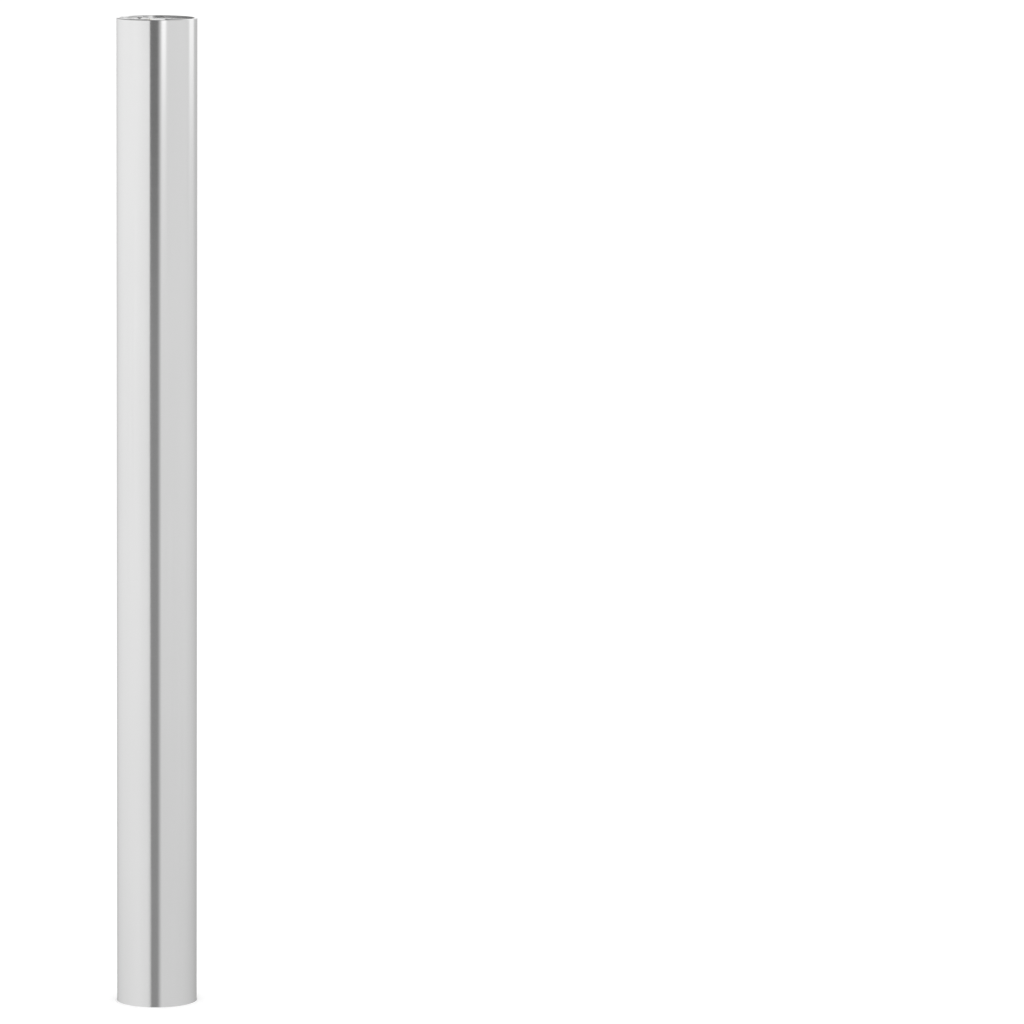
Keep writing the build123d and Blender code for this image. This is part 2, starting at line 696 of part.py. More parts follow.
# ================================================================ handle and lock cover
def lift_handle():
    """Bail that lies in the cap's pocket and swings up about its pin."""
    bend = HANDLE_HALF
    straight = HANDLE_REACH - bend
    path = Wire(
        [
            Line((HANDLE_X, -bend, HANDLE_Z), (HANDLE_X + straight, -bend, HANDLE_Z)),
            ThreePointArc(
                (HANDLE_X + straight, -bend, HANDLE_Z),
                (HANDLE_X + straight + bend, 0, HANDLE_Z),
                (HANDLE_X + straight, bend, HANDLE_Z),
            ),
            Line((HANDLE_X + straight, bend, HANDLE_Z), (HANDLE_X, bend, HANDLE_Z)),
        ]
    )
    bail = sweep(Plane(path @ 0, z_dir=path % 0) * Circle(HANDLE_R), path)
    turned = Rot(90, 0, 0)
    for y in (-bend, bend):
        bail += Pos(HANDLE_X, y, HANDLE_Z) * turned * Cylinder(EYE_R, 2 * HANDLE_R)
    return bail - Pos(HANDLE_X, 0, HANDLE_Z) * turned * Cylinder(PIN_R + FIT_GAP, 4 * bend)


def lock_cover():
    """Dust cover over the lock's well, on an ear that turns about the rivet."""
    outline = Pos(LOCK_X, 0) * Circle(COVER_R)
    ear = Pos(LOCK_X, COVER_PIVOT_Y) * Circle(RIVET_HEAD_R + EAR_EDGE)
    neck = Pos(LOCK_X, COVER_PIVOT_Y / 2) * Rectangle(2 * RIVET_HEAD_R, COVER_PIVOT_Y)
    plate = Pos(0, 0, COVER_BOTTOM) * extrude(outline + ear + neck, COVER_T)
    hole = rod(RIVET_R + FIT_GAP, COVER_BOTTOM - 1, COVER_BOTTOM + COVER_T + 1, (LOCK_X, COVER_PIVOT_Y))
    tab = rod(TAB_R, COVER_BOTTOM, COVER_BOTTOM + COVER_T + TAB_H, (LOCK_X, TAB_IN - COVER_R))
    return plate - hole + tab


PARTS = {
    "casing_tube": casing_tube,
    "casing_head": casing_head,
    "collar_ring": collar_ring,
    "collar_screws": collar_screws,
    "wiper_seal": wiper_seal,
    "guide_bush": guide_bush,
    "stop_sleeve": stop_sleeve,
    "stop_cushion": stop_cushion,
    "key_rail": key_rail,
    "anchor_flange": anchor_flange,
    "flange_gussets": flange_gussets,
    "ground_lugs": ground_lugs,
    "strike_cups_raised": lambda: strike_cups(BOLT_Z),
    "strike_cups_lowered": lambda: strike_cups(LOW_BOLT_Z),
    "base_plate": base_plate,
    "drain_spigot": drain_spigot,
    "base_buffer": base_buffer,
    "strut_bridge": strut_bridge,
    "strut_rod": strut_rod,
    "strut_foot_nut": strut_foot_nut,
    "strut_piston": strut_piston,
    "post_tube": post_tube,
    "cap_lugs": cap_lugs,
    "top_cap": top_cap,
    "cap_screws": cap_screws,
    "lock_housing": lock_housing,
    "lock_nut": lock_nut,
    "cover_rivet": cover_rivet,
    "handle_pin": handle_pin,
    "strut_bracket": strut_bracket,
    "rod_bearing": rod_bearing,
    "strut_cylinder": strut_cylinder,
    "strut_gland": strut_gland,
    "strut_top_nut": strut_top_nut,
    "bolt_carrier": bolt_carrier,
    "carrier_lid": carrier_lid,
    "carrier_screws": carrier_screws,
    "lower_guide_ring": lower_guide_ring,
    "stop_collar": stop_collar,
    "lock_spindle": lock_spindle,
    "lock_rod": lock_rod,
    "rod_pin": rod_pin,
    "lock_pinion": lock_pinion,
    "bolt_left": bolt_left,
    "bolt_right": bolt_right,
    "lift_handle": lift_handle,
    "lock_cover": lock_cover,
}

for name, make in PARTS.items():
    made = make()
    shape = Compound(children=made) if isinstance(made, list) else made
    export_step(shape, "parts/" + name + ".step")
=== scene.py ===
"""Looks of the telescopic bollard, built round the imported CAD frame. Metres, +Z up, camera looks along +Y."""

import json
import math

import bmesh
import bpy
from mathutils import Matrix, Vector


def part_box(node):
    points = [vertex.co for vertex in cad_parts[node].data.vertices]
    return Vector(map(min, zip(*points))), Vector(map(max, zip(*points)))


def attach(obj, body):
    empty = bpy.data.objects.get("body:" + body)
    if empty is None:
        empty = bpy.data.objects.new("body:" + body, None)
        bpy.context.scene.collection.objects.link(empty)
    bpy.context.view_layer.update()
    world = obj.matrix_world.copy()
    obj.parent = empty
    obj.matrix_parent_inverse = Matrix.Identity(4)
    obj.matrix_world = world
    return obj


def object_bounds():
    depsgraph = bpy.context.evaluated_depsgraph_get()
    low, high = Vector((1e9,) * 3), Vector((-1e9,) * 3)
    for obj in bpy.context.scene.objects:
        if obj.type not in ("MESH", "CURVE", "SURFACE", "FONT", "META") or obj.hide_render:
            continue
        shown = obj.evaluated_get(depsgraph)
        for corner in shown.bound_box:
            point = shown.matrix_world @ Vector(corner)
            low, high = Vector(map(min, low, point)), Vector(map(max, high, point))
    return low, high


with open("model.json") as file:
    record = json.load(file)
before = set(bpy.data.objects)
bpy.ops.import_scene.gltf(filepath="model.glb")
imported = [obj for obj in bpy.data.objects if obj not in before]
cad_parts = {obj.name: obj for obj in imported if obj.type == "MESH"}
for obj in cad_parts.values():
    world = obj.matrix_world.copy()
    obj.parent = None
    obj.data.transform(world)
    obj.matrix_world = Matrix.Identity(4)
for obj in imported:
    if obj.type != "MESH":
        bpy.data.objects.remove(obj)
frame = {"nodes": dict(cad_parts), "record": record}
NODES = frame["nodes"]
CAD_LOW, CAD_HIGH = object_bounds()

GROUND_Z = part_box("collar_ring")[1].z
FLOOR_DROP = 0.0004
FLOOR_Z = CAD_LOW.z - FLOOR_DROP

# Most of a noise texture's values lie between these two.
NOISE_LOW, NOISE_HIGH = 0.3, 0.7


# ------------------------------------------------------------------ node helpers
class Net:
    """Short calls for one node tree."""

    def __init__(self, tree):
        self.tree = tree
        tree.nodes.clear()

    def add(self, kind, **settings):
        node = self.tree.nodes.new(kind)
        for key, value in settings.items():
            setattr(node, key, value)
        return node

    def link(self, source, target):
        self.tree.links.new(source, target)

    def feed(self, socket, value):
        """Sets a socket to a plain value or links an output to it."""
        if isinstance(value, bpy.types.NodeSocket):
            self.link(value, socket)
        else:
            socket.default_value = value

    def math(self, operation, a, b=0.0, clamp=False):
        node = self.add("ShaderNodeMath", operation=operation, use_clamp=clamp)
        self.feed(node.inputs[0], a)
        self.feed(node.inputs[1], b)
        return node.outputs[0]

    def plus(self, a, b):
        return self.math("ADD", a, b)

    def times(self, a, b):
        return self.math("MULTIPLY", a, b)

    def weighted(self, a, b, share):
        """Sum of two values, with this share of the first."""
        return self.plus(self.times(a, share), self.times(b, 1 - share))

    def remap(self, value, a0, a1, b0, b1, smooth=False):
        node = self.add("ShaderNodeMapRange", clamp=True)
        if smooth:
            node.interpolation_type = "SMOOTHSTEP"
        self.feed(node.inputs["Value"], value)
        for name, x in (("From Min", a0), ("From Max", a1), ("To Min", b0), ("To Max", b1)):
            self.feed(node.inputs[name], x)
        return node.outputs["Result"]

    def spread(self, noise, low=0, high=1):
        """Noise stretched to run from low to high."""
        return self.remap(noise, NOISE_LOW, NOISE_HIGH, low, high)

    def mix(self, factor, a, b):
        node = self.add("ShaderNodeMix", data_type="RGBA")
        self.feed(node.inputs["Factor"], factor)
        self.feed(node.inputs[6], a)
        self.feed(node.inputs[7], b)
        return node.outputs[2]

    def place(self, scale=(1, 1, 1), shift=(0, 0, 0)):
        """The object's own coordinates, in metres, scaled and then shifted."""
        coord = self.add("ShaderNodeTexCoord")
        mapping = self.add("ShaderNodeMapping")
        mapping.inputs["Scale"].default_value = scale
        mapping.inputs["Location"].default_value = shift
        self.link(coord.outputs["Object"], mapping.inputs["Vector"])
        return mapping.outputs["Vector"]

    def noise(self, vector, scale, detail=3.0, rough=0.55):
        node = self.add("ShaderNodeTexNoise")
        self.link(vector, node.inputs["Vector"])
        node.inputs["Scale"].default_value = scale
        node.inputs["Detail"].default_value = detail
        node.inputs["Roughness"].default_value = rough
        return node.outputs["Fac"]

    def cells(self, vector, scale):
        """One random colour in each cell."""
        node = self.add("ShaderNodeTexVoronoi")
        self.link(vector, node.inputs["Vector"])
        node.inputs["Scale"].default_value = scale
        return node.outputs["Color"]

    def split(self, vector):
        node = self.add("ShaderNodeSeparateXYZ")
        self.link(vector, node.inputs[0])
        return node.outputs

    def join(self, x, y, z):
        node = self.add("ShaderNodeCombineXYZ")
        for socket, value in zip(node.inputs, (x, y, z)):
            self.feed(socket, value)
        return node.outputs[0]

    def dot(self, a, b):
        node = self.add("ShaderNodeVectorMath", operation="DOT_PRODUCT")
        self.feed(node.inputs[0], a)
        self.feed(node.inputs[1], b)
        return node.outputs["Value"]

    def bump(self, height, strength, distance, normal=None):
        node = self.add("ShaderNodeBump")
        node.inputs["Strength"].default_value = strength
        node.inputs["Distance"].default_value = distance
        self.link(height, node.inputs["Height"])
        if normal is not None:
            self.link(normal, node.inputs["Normal"])
        return node.outputs["Normal"]


def soft_edge(net, radius):
    """Normal with machined corners broken by a small radius."""
    node = net.add("ShaderNodeBevel", samples=4)
    node.inputs["Radius"].default_value = radius
    return node.outputs["Normal"]


# Cosines between a face's normal and its softened normal, where wear starts and where it is full.
WEAR_STARTS, WEAR_FULL = 0.99, 0.80


def edge_wear(net, radius, amount):
    """0 on flat faces, up to amount where a corner has been rubbed bright."""
    turn = net.dot(soft_edge(net, radius), net.add("ShaderNodeNewGeometry").outputs["Normal"])
    edge = net.remap(turn, WEAR_STARTS, WEAR_FULL, 0, amount)
    patch = net.remap(net.noise(net.place(), scale=160.0, detail=4.0, rough=0.65), 0.42, 0.58, 0.25, 1)
    return net.times(edge, patch)


def surface(name, color, rough, metal, normal=None, **fixed):
    """Material with a Principled shader. color, rough and normal may be functions of the net."""
    material = bpy.data.materials.new(name)
    material.use_nodes = True
    net = Net(material.node_tree)
    shader = net.add("ShaderNodeBsdfPrincipled")
    out = net.add("ShaderNodeOutputMaterial")
    net.link(shader.outputs[0], out.inputs[0])
    shader.inputs["Metallic"].default_value = metal
    for key, value in fixed.items():
        shader.inputs[key.replace("_", " ")].default_value = value
    for key, value in (("Base Color", color), ("Roughness", rough), ("Normal", normal)):
        if value is not None:
            net.feed(shader.inputs[key], value(net) if callable(value) else value)
    return material


def grey(level, tint=(1, 1, 1)):
    return (level * tint[0], level * tint[1], level * tint[2], 1)


# ------------------------------------------------------------------ materials
# A recipe is the three functions that give a surface's colour, roughness and normal. low and high are
# the ends of its roughness.
STEEL_TINT = (0.993, 0.993, 0.993)
BRASS_TINT = (1.0, 0.80, 0.46)
LOCK_CENTRE = (-0.016, 0.0)


def drawn_tube(level, low, high):
    """Satin tube: hair-fine grain round the tube, faint lengthwise draw lines and soft handling marks."""
    darker = grey(level - 0.018, STEEL_TINT)
    lighter = grey(level + 0.012, STEEL_TINT)

    def color(net):
        cloud = net.noise(net.place((3, 3, 1.2)), scale=4.0, detail=4.0)
        lines = net.noise(net.place((90, 90, 0.8)), scale=6.0, detail=2.0)
        return net.mix(net.spread(net.weighted(cloud, lines, 0.7)), darker, lighter)

    def rough(net):
        grain = net.noise(net.place((5, 5, 900)), scale=1.0, detail=2.0)
        marks = net.noise(net.place((14, 14, 5)), scale=2.5, detail=5.0, rough=0.7)
        return net.spread(net.weighted(grain, marks, 0.6), low, high)

    def normal(net):
        grain = net.noise(net.place((5, 5, 1400)), scale=1.0, detail=2.0)
        return net.bump(grain, strength=0.05, distance=0.0001)

    return color, rough, normal


def turned(level, low, high, centre=(0, 0), tint=STEEL_TINT):
    """Lathe-turned face: fine rings round its own axis."""
    darker = grey(level - 0.05, tint)
    lighter = grey(level + 0.02, tint)

    def rings(net):
        x, y, _ = net.split(net.place(shift=(-centre[0], -centre[1], 0)))
        radius = net.math("SQRT", net.plus(net.times(x, x), net.times(y, y)))
        return net.noise(net.join(radius, 0.0, 0.0), scale=2600.0, detail=2.0)

    def color(net):
        cloud = net.noise(net.place(), scale=45.0, detail=4.0)
        return net.mix(net.spread(cloud), darker, lighter)

    def rough(net):
        return net.spread(rings(net), low, high)

    def normal(net):
        corners = soft_edge(net, radius=0.0003)
        return net.bump(rings(net), strength=0.25, distance=0.0001, normal=corners)

    return color, rough, normal


def galvanised(level):
    """Hot-dip zinc: small feathery crystals in two sizes, dull patches and slight sag marks."""
    dark_flake = grey(level - 0.12, (0.96, 0.99, 1))
    bright_flake = grey(level + 0.08, (0.97, 0.99, 1))
    dull_zinc = grey(level - 0.05, (1, 1, 0.98))
    rubbed = grey(level + 0.16)

    def spangle(net, scale):
        """Random value for each crystal, with feathered borders between them."""
        wobble = net.noise(net.place(), scale=scale * 1.6, detail=3.0, rough=0.6)
        shift = net.times(wobble, 0.9 / scale)
        vector = net.add("ShaderNodeVectorMath", operation="ADD")
        net.link(net.place(), vector.inputs[0])
        net.link(net.join(shift, net.times(shift, -0.7), shift), vector.inputs[1])
        return net.split(net.cells(vector.outputs[0], scale))[0]

    def crystals(net):
        return net.weighted(spangle(net, scale=420.0), spangle(net, scale=190.0), 0.45)

    def dull(net, low, high):
        patches = net.noise(net.place((1, 1, 0.4)), scale=13.0, detail=5.0, rough=0.65)
        return net.remap(patches, 0.42, 0.66, low, high)

    def color(net):
        flakes = net.mix(crystals(net), dark_flake, bright_flake)
        zinc = net.mix(dull(net, 0.0, 0.7), flakes, dull_zinc)
        return net.mix(edge_wear(net, radius=0.0012, amount=0.6), zinc, rubbed)

    def rough(net):
        return net.math("ADD", net.times(crystals(net), 0.14), dull(net, 0.30, 0.50), clamp=True)

    def normal(net):
        sag = net.noise(net.place((1, 1, 0.35)), scale=55.0, detail=2.0)
        grit = net.noise(net.place(), scale=900.0, detail=3.0)
        corners = soft_edge(net, radius=0.0008)
        sagged = net.bump(sag, strength=0.25, distance=0.0006, normal=corners)
        gritty = net.bump(grit, strength=0.12, distance=0.0001, normal=sagged)
        return net.bump(crystals(net), strength=0.05, distance=0.0002, normal=gritty)

    return color, rough, normal


def speckled(dark, light, scale, strength, low, high, wear=0.0, bright=grey(0.6)):
    """Cast, moulded, plated or coated: two tones of noise, bump of the given strength, and rubbed corners."""

    def color(net):
        cloud = net.noise(net.place(), scale, detail=5.0, rough=0.6)
        tones = net.mix(net.spread(cloud), dark, light)
        return net.mix(edge_wear(net, radius=0.0007, amount=wear), tones, bright) if wear else tones

    def rough(net):
        return net.spread(net.noise(net.place(), scale * 1.7, detail=4.0), low, high)

    def normal(net):
        grit = net.noise(net.place(), scale * 3.0, detail=3.0)
        return net.bump(grit, strength, distance=0.0003, normal=soft_edge(net, radius=0.0004))

    return color, rough, normal


def make(name, recipe, metal, **fixed):
    color, rough, normal = recipe
    return surface(name, color, rough, metal, normal, **fixed)


SMALL_STEEL = speckled(grey(0.60), grey(0.72), 300.0, 0.05, 0.12, 0.24, 0.5, grey(0.8))
HARD_STEEL = speckled(grey(0.36), grey(0.48), 260.0, 0.08, 0.25, 0.38, 0.6, grey(0.66))
CHROME = speckled(grey(0.78), grey(0.84), 500.0, 0.02, 0.04, 0.09)
RUBBER = speckled(grey(0.012), grey(0.030), 240.0, 0.25, 0.55, 0.75, 0.35, grey(0.06))
IVORY, PALE_IVORY, SCUFFED_IVORY = (0.72, 0.70, 0.64, 1), (0.80, 0.79, 0.74, 1), (0.9, 0.89, 0.85, 1)
ACETAL = speckled(IVORY, PALE_IVORY, 120.0, 0.08, 0.35, 0.5, 0.3, SCUFFED_IVORY)
PLATED = speckled((0.50, 0.52, 0.50, 1), (0.66, 0.66, 0.60, 1), 160.0, 0.1, 0.25, 0.4, 0.5, grey(0.75))
PAINTED = speckled(grey(0.010), grey(0.022), 400.0, 0.06, 0.18, 0.3, 0.5, grey(0.10))
IRON = speckled(grey(0.10), grey(0.22), 180.0, 0.3, 0.4, 0.6, 0.7, grey(0.42))
BEAD = speckled((0.30, 0.31, 0.33, 1), (0.52, 0.52, 0.53, 1), 350.0, 0.35, 0.3, 0.55)

# For each material slot of the record: its recipe and how metallic it is.
RECIPES = {
    "stainless_tube": (drawn_tube(0.775, 0.11, 0.17), 1.0),
    "stainless_cap": (turned(0.72, 0.18, 0.30), 1.0),
    "stainless_collar": (turned(0.74, 0.20, 0.32), 1.0),
    "stainless_small": (SMALL_STEEL, 1.0),
    "galvanised_steel": (galvanised(0.58), 1.0),
    "drain_steel": (galvanised(0.54), 1.0),
    "black_rubber": (RUBBER, 0.0),
    "guide_plastic": (ACETAL, 0.0),
    "zinc_steel": (PLATED, 1.0),
    "black_strut": (PAINTED, 0.0),
    "chrome_rod": (CHROME, 1.0),
    "carrier_iron": (IRON, 0.9),
    "lock_brass": (turned(0.70, 0.22, 0.34, LOCK_CENTRE, BRASS_TINT), 1.0),
    "hard_steel": (HARD_STEEL, 1.0),
}
COATED = {"black_strut": {"Coat_Weight": 0.5}}
MATERIALS = {}
for slot, (recipe, metal) in RECIPES.items():
    MATERIALS[slot] = make(slot, recipe, metal, **COATED.get(slot, {}))
WELD = make("weld", BEAD, 1.0)

SLOT_OF = {part["node"]: part["material_slot"] for part in frame["record"]["subparts"]}
for node, obj in NODES.items():
    obj.data.materials.clear()
    obj.data.materials.append(MATERIALS[SLOT_OF[node]])


# ------------------------------------------------------------------ weld beads
UP = Vector((0, 0, 1))
BEAD_SIDES = 10
BEAD_STEP = 0.55  # spacing of a bead's points, as a share of its radius
RIPPLE_POINTS = 4
RIPPLE, UNEVEN = 0.16, 0.05
UNEVEN_TURN = 1.7
RING_MIN_POINTS = 60
LINE_MIN_POINTS = 8
TOUCH = 0.0004  # how far a line bead's centre stands off the casing


def bead_mesh(name, points, normals, ups, radius, closed):
    """Rippled weld bead swept along points."""
    count = len(points)
    bm = bmesh.new()
    rows = []
    for i in range(count):
        wave = RIPPLE * math.sin(2 * math.pi * i / RIPPLE_POINTS)
        ripple = 1.0 + wave + UNEVEN * math.sin(i * UNEVEN_TURN)
        row = []
        for k in range(BEAD_SIDES):
            a = 2 * math.pi * k / BEAD_SIDES
            offset = normals[i] * math.cos(a) + ups[i] * math.sin(a)
            row.append(bm.verts.new(points[i] + offset * radius * ripple))
        rows.append(row)
    for i in range(count if closed else count - 1):
        a, b = rows[i], rows[(i + 1) % count]
        for k in range(BEAD_SIDES):
            j = (k + 1) % BEAD_SIDES
            bm.faces.new((a[k], a[j], b[j], b[k]))
    if not closed:
        bm.faces.new(rows[0])
        bm.faces.new(list(reversed(rows[-1])))
    bmesh.ops.recalc_face_normals(bm, faces=bm.faces)
    mesh = bpy.data.meshes.new(name)
    bm.to_mesh(mesh)
    bm.free()
    return mesh


def put_bead(name, points, normals, ups, radius, closed):
    """Makes a smooth-shaded bead that rides on the casing."""
    obj = bpy.data.objects.new(name, bead_mesh(name, points, normals, ups, radius, closed))
    bpy.context.scene.collection.objects.link(obj)
    obj.data.materials.append(WELD)
    for face in obj.data.polygons:
        face.use_smooth = True
    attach(obj, "casing")


def weld_ring(name, radius, z, size):
    """Bead round the Z axis, with a whole number of ripples."""
    fitting = int(2 * math.pi * radius / (size * BEAD_STEP))
    count = max(RING_MIN_POINTS, fitting // RIPPLE_POINTS * RIPPLE_POINTS)
    angles = [2 * math.pi * i / count for i in range(count)]
    normals = [Vector((math.cos(a), math.sin(a), 0)) for a in angles]
    points = [out * radius + UP * z for out in normals]
    put_bead(name, points, normals, [UP] * count, size, True)


def weld_line(name, start, end, size):
    """Straight bead between two points, level or upright."""
    along = (end - start).normalized()
    reference = Vector((1, 0.3, 0)) if abs(along.dot(UP)) > 0.9 else UP
    side = along.cross(reference).normalized()
    top = side.cross(along).normalized()
    count = max(LINE_MIN_POINTS, int((end - start).length / (size * BEAD_STEP)))
    points = [start.lerp(end, i / (count - 1)) for i in range(count)]
    put_bead(name, points, [side] * count, [top] * count, size, False)


def turned_about_z(point, degrees):
    return Matrix.Rotation(math.radians(degrees), 3, "Z") @ Vector(point)


TUBE_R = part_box("casing_tube")[1].x
TUBE_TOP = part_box("casing_tube")[1].z
FLANGE_UNDER, FLANGE_TOP = (corner.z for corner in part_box("anchor_flange"))
BASE_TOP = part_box("base_plate")[1].z
SPIGOT_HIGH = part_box("drain_spigot")[1]
GUSSET_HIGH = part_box("flange_gussets")[1]
LUG_LOW, LUG_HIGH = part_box("ground_lugs")

RING_OUT = TUBE_R + 0.0008
RING_UP = 0.0006
RING_BEAD = 0.0026
HEAD_BEAD, HEAD_DOWN = 0.0022, 0.0010
SPIGOT_BEAD, SPIGOT_OUT, SPIGOT_DOWN = 0.0020, 0.0006, 0.0008
weld_ring("weld_head", RING_OUT, TUBE_TOP - HEAD_DOWN, HEAD_BEAD)
weld_ring("weld_flange_top", RING_OUT, FLANGE_TOP + RING_UP, RING_BEAD)
weld_ring("weld_flange_under", RING_OUT, FLANGE_UNDER - RING_UP, RING_BEAD)
weld_ring("weld_base", RING_OUT, BASE_TOP + RING_UP, RING_BEAD)
weld_ring("weld_spigot", SPIGOT_HIGH.x + SPIGOT_OUT, SPIGOT_HIGH.z - SPIGOT_DOWN, SPIGOT_BEAD)

WEB_SIDE = 0.0028  # from the middle of a gusset or lug to the beads along its sides
GUSSET_BEAD = 0.0014
GUSSET_FOOT_START, GUSSET_TOE_GAP = TUBE_R + 0.003, 0.0015
GUSSET_SIDE_START = 0.003
LUG_BEAD = 0.0016
END_GAP = 0.001


def weld_web(name, angle, start, end, size):
    """Line bead given in the plane of the web on +X, for the web at an angle round the casing."""
    weld_line(name, turned_about_z(start, angle), turned_about_z(end, angle), size)


def weld_gussets_and_lugs():
    """Beads on both sides of each gusset and lug."""
    foot_z = FLANGE_TOP + RING_UP
    wall_x = TUBE_R + TOUCH
    for n in range(4):
        for tag, y in (("a", -WEB_SIDE), ("b", WEB_SIDE)):
            foot = (GUSSET_FOOT_START, y, foot_z), (GUSSET_HIGH.x - GUSSET_TOE_GAP, y, foot_z)
            side = (wall_x, y, FLANGE_TOP + GUSSET_SIDE_START), (wall_x, y, GUSSET_HIGH.z - END_GAP)
            lug = (wall_x, y, LUG_LOW.z + END_GAP), (wall_x, y, LUG_HIGH.z - END_GAP)
            weld_web(f"weld_gusset_foot_{n}_{tag}", 90 * n, *foot, GUSSET_BEAD)
            weld_web(f"weld_gusset_side_{n}_{tag}", 90 * n, *side, GUSSET_BEAD)
            weld_web(f"weld_lug_{n}_{tag}", 90 * n, *lug, LUG_BEAD)


def on_casing(y, z, side):
    """Point just outside the casing, on its +X or -X side, and the radial direction there."""
    point = Vector((side * math.sqrt(TUBE_R**2 - y**2), y, 0))
    out = point.normalized()
    return point + out * TOUCH + UP * z, out


CUP_BEAD = 0.0014


def weld_cup(name, corners, side):
    """Bead all round the foot of a cup on one side of the casing, through corners given as (y, z)."""
    points, normals, ups = [], [], []
    for start, end in zip(corners, corners[1:] + corners[:1]):
        count = int(math.dist(start, end) / (CUP_BEAD * BEAD_STEP))
        for i in range(count):
            t = i / count
            y = start[0] + (end[0] - start[0]) * t
            z = start[1] + (end[1] - start[1]) * t
            point, out = on_casing(y, z, side)
            points.append(point)
            normals.append(out)
    for i, out in enumerate(normals):
        along = (points[(i + 1) % len(points)] - points[i - 1]).normalized()
        ups.append(along.cross(out).normalized())
    put_bead(name, points, normals, ups, CUP_BEAD, True)


def weld_cups(node):
    """Beads round both cups of a node, whose outlines come from the node's own points."""
    spots = [NODES[node].matrix_world @ vertex.co for vertex in NODES[node].data.vertices]
    for side, tag in ((-1, "left"), (1, "right")):
        own = [spot for spot in spots if spot.x * side > 0]
        y0, y1 = min(spot.y for spot in own), max(spot.y for spot in own)
        z0, z1 = min(spot.z for spot in own), max(spot.z for spot in own)
        weld_cup(f"weld_{node}_{tag}", [(y0, z0), (y1, z0), (y1, z1), (y0, z1)], side)


weld_gussets_and_lugs()
weld_cups("strike_cups_raised")
weld_cups("strike_cups_lowered")


# ------------------------------------------------------------------ stage
def stage_mesh(name, build, *materials):
    """Makes a piece of the stage, which isn't part of the object."""
    bm = bmesh.new()
    build(bm)
    mesh = bpy.data.meshes.new(name)
    bm.to_mesh(mesh)
    bm.free()
    obj = bpy.data.objects.new(name, mesh)
    bpy.context.scene.collection.objects.link(obj)
    for material in materials:
        obj.data.materials.append(material)
    return obj


FLOOR_HALF = 90.0
FLOOR_NEAR, FLOOR_FAR = 0.70, 0.93
FADE_FROM, FADE_TO = 1.0, 5.0


def floor_tone(net):
    """Pale grey under the object, fading to white farther out."""
    away = net.add("ShaderNodeVectorMath", operation="LENGTH")
    net.link(net.place(), away.inputs[0])
    fade = net.remap(away.outputs["Value"], FADE_FROM, FADE_TO, 0, 1, smooth=True)
    return net.mix(fade, grey(FLOOR_NEAR), grey(FLOOR_FAR))


def build_floor(bm):
    corners = [(-1, -1), (1, -1), (1, 1), (-1, 1)]
    bm.faces.new([bm.verts.new((x * FLOOR_HALF, y * FLOOR_HALF, FLOOR_Z)) for x, y in corners])


PALE = surface("pale_floor", floor_tone, 1.0, 0.0, Specular_IOR_Level=0.0)
floor = stage_mesh("stage_floor", build_floor, PALE)
floor.visible_glossy = False

GROUND_HALF = 0.118
GROUND_T = 0.012
GROUND_TOP = GROUND_Z + 0.0001
GROUND_UNDER = GROUND_TOP - GROUND_T
ABOVE_COLLAR = GROUND_Z + 0.00004
POST_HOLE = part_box("post_tube")[1].x + 0.0005
COLLAR_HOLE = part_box("collar_ring")[1].x + 0.0006
RING_POINTS = 160


def ground_ring(bm, reach, z):
    """Ring of points round the post, at a radius or, for the outline, on a square."""
    points = []
    for i in range(RING_POINTS):
        a = 2 * math.pi * (i + 0.5) / RING_POINTS
        r = reach if reach < GROUND_HALF else reach / max(abs(math.cos(a)), abs(math.sin(a)))
        points.append(bm.verts.new((r * math.cos(a), r * math.sin(a), z)))
    return points


def build_ground(bm):
    """Thin square of finished ground, with a hole for the post and room below for the collar."""
    steps = (
        (POST_HOLE, GROUND_TOP), (GROUND_HALF, GROUND_TOP), (GROUND_HALF, GROUND_UNDER),
        (COLLAR_HOLE, GROUND_UNDER), (COLLAR_HOLE, ABOVE_COLLAR), (POST_HOLE, ABOVE_COLLAR),
    )
    rings = [ground_ring(bm, reach, z) for reach, z in steps]
    for k, row in enumerate(rings):
        following = rings[(k + 1) % len(rings)]
        for i in range(RING_POINTS):
            j = (i + 1) % RING_POINTS
            face = bm.faces.new((row[i], following[i], following[j], row[j]))
            face.material_index = 0 if k == 0 else 1


# The ground's top is white with a faint painted glow (emission 0.12) that lifts the shade round the post's
# foot.
GLOWING_WHITE_TOP = surface("pale_ground_painted_glow", grey(0.96), 1.0, 0.0, Specular_IOR_Level=0.0,
                    Emission_Color=grey(1.0), Emission_Strength=0.12)
CONCRETE = speckled(grey(0.46), grey(0.62), 90.0, 0.4, 0.85, 0.95)
SLAB_SIDE = make("ground_side", CONCRETE, 0.0, Specular_IOR_Level=0.1)
ground = stage_mesh("stage_ground", build_ground, GLOWING_WHITE_TOP, SLAB_SIDE)
ground.visible_glossy = False

# The ground covers these, so the post's foot reflects neither them nor the ground.
for covered in ("collar_ring", "collar_screws", "wiper_seal", "casing_head"):
    NODES[covered].visible_glossy = False

# ------------------------------------------------------------------ studio panels
# A round tent of glowing panels, seen only in reflections. Its levels are (azimuth, level) or
# (height, level) pairs. Azimuth is in degrees from the camera's side, positive to its right.
TENT_R = 3.0
TENT_TOP = 4.0
TENT_POINTS = 180
HEIGHTS = (-1.0, 1.0)

PANELS = (
    (-180, 0.62), (-150, 0.78), (-138, 0.92), (-112, 1.0), (-60, 1.02), (-34, 0.965), (-20, 0.945),
    (4, 0.80), (30, 0.80), (88, 0.81), (110, 0.77), (130, 0.70), (145, 0.60), (160, 0.56), (180, 0.62),
)
